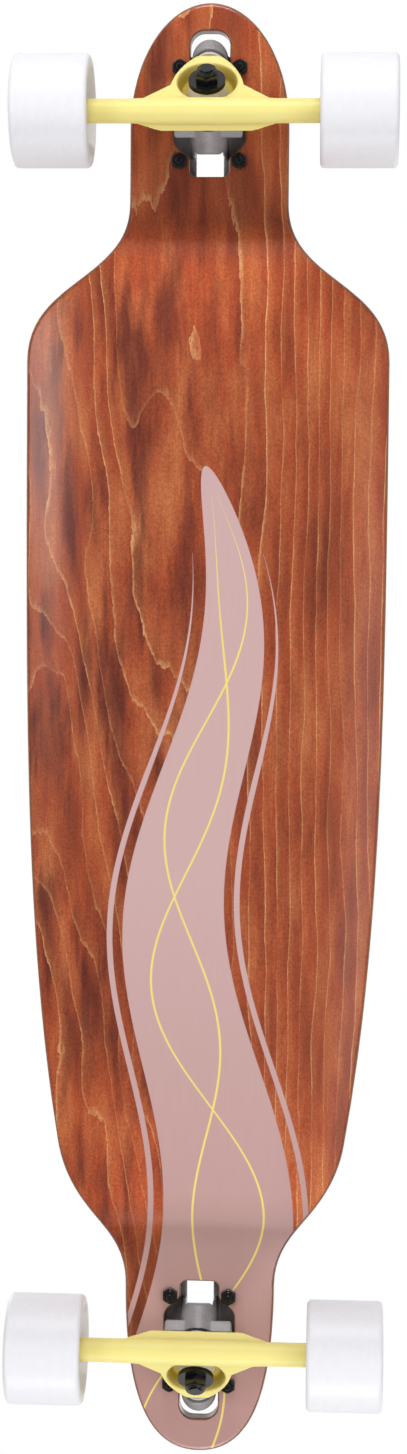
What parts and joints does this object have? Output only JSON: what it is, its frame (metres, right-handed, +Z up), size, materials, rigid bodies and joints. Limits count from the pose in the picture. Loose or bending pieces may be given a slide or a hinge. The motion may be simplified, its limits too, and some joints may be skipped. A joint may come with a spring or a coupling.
{
  "type": "longboard skateboard",
  "caption": "Drop-through longboard skateboard with a dropped, stained wooden deck, yellow reverse-kingpin trucks and white urethane wheels.",
  "frame": {"origin": "on the floor under the middle of the board", "axes": "+X towards the nose, +Y to the rider's left when facing the nose, +Z up"},
  "size_m": [1.016, 0.2576, 0.1091],
  "materials": {
    "stained_veneer": "clear gloss lacquer over red-brown stain",
    "grip_tape": "black mineral grit",
    "yellow_cast_aluminium": "pastel yellow paint",
    "cast_aluminium": "dark as-cast",
    "black_steel": "black oxide",
    "axle_steel": "zinc plated",
    "bushing_urethane": "cream satin",
    "pivot_urethane": "pale satin",
    "wheel_urethane": "white satin",
    "core_plastic": "moulded satin",
    "bearing_steel": "ground",
    "shield_plastic": "moulded",
    "spacer_aluminium": "turned"
  },
  "bodies": {
    "board": {"deck": "stained_veneer", "grip_tape": "grip_tape", "front_baseplate": "cast_aluminium", "front_pivot_cup": "pivot_urethane", "front_kingpin": "black_steel", "front_kingpin_nut": "black_steel", "front_bushing_washers": "black_steel", "front_boardside_bushing": "bushing_urethane", "front_roadside_bushing": "bushing_urethane", "front_mounting_bolts": "black_steel", "front_mounting_nuts": "black_steel", "rear_baseplate": "cast_aluminium", "rear_pivot_cup": "pivot_urethane", "rear_kingpin": "black_steel", "rear_kingpin_nut": "black_steel", "rear_bushing_washers": "black_steel", "rear_boardside_bushing": "bushing_urethane", "rear_roadside_bushing": "bushing_urethane", "rear_mounting_bolts": "black_steel", "rear_mounting_nuts": "black_steel"},
    "front_truck_arm": {"front_hanger": "yellow_cast_aluminium", "front_axle": "axle_steel", "front_axle_nuts": "axle_steel", "front_speed_washers": "axle_steel", "front_left_bearing_inner_rings": "bearing_steel", "front_left_bearing_spacer": "spacer_aluminium", "front_right_bearing_inner_rings": "bearing_steel", "front_right_bearing_spacer": "spacer_aluminium"},
    "rear_truck_arm": {"rear_hanger": "yellow_cast_aluminium", "rear_axle": "axle_steel", "rear_axle_nuts": "axle_steel", "rear_speed_washers": "axle_steel", "rear_left_bearing_inner_rings": "bearing_steel", "rear_left_bearing_spacer": "spacer_aluminium", "rear_right_bearing_inner_rings": "bearing_steel", "rear_right_bearing_spacer": "spacer_aluminium"},
    "front_left_wheel": {"front_left_tyre": "wheel_urethane", "front_left_wheel_core": "core_plastic", "front_left_bearing_outer_rings": "bearing_steel", "front_left_bearing_balls": "bearing_steel", "front_left_bearing_shields": "shield_plastic"},
    "front_right_wheel": {"front_right_tyre": "wheel_urethane", "front_right_wheel_core": "core_plastic", "front_right_bearing_outer_rings": "bearing_steel", "front_right_bearing_balls": "bearing_steel", "front_right_bearing_shields": "shield_plastic"},
    "rear_left_wheel": {"rear_left_tyre": "wheel_urethane", "rear_left_wheel_core": "core_plastic", "rear_left_bearing_outer_rings": "bearing_steel", "rear_left_bearing_balls": "bearing_steel", "rear_left_bearing_shields": "shield_plastic"},
    "rear_right_wheel": {"rear_right_tyre": "wheel_urethane", "rear_right_wheel_core": "core_plastic", "rear_right_bearing_outer_rings": "bearing_steel", "rear_right_bearing_balls": "bearing_steel", "rear_right_bearing_shields": "shield_plastic"}
  },
  "joints": [
    {"name": "front_steer", "type": "hinge", "parent": "board", "child": "front_truck_arm", "pos_m": [0.41814, 0, 0.04456], "axis": [0.7431, 0, 0.6691], "range_deg": [-15, 15], "stiffness_Nm_per_rad": 30, "deforming": ["front_boardside_bushing", "front_roadside_bushing"]},
    {"name": "rear_steer", "type": "hinge", "parent": "board", "child": "rear_truck_arm", "pos_m": [-0.41364, 0, 0.04456], "axis": [-0.7431, 0, 0.6691], "range_deg": [-15, 15], "stiffness_Nm_per_rad": 30, "deforming": ["rear_boardside_bushing", "rear_roadside_bushing"]},
    {"name": "front_left_spin", "type": "hinge", "parent": "front_truck_arm", "child": "front_left_wheel", "pos_m": [0.4245, 0.1028, 0.0375], "axis": [0, 1, 0], "continuous": true},
    {"name": "front_right_spin", "type": "hinge", "parent": "front_truck_arm", "child": "front_right_wheel", "pos_m": [0.4245, -0.1028, 0.0375], "axis": [0, 1, 0], "continuous": true},
    {"name": "rear_left_spin", "type": "hinge", "parent": "rear_truck_arm", "child": "rear_left_wheel", "pos_m": [-0.42, 0.1028, 0.0375], "axis": [0, 1, 0], "continuous": true},
    {"name": "rear_right_spin", "type": "hinge", "parent": "rear_truck_arm", "child": "rear_right_wheel", "pos_m": [-0.42, -0.1028, 0.0375], "axis": [0, 1, 0], "continuous": true}
  ]
}
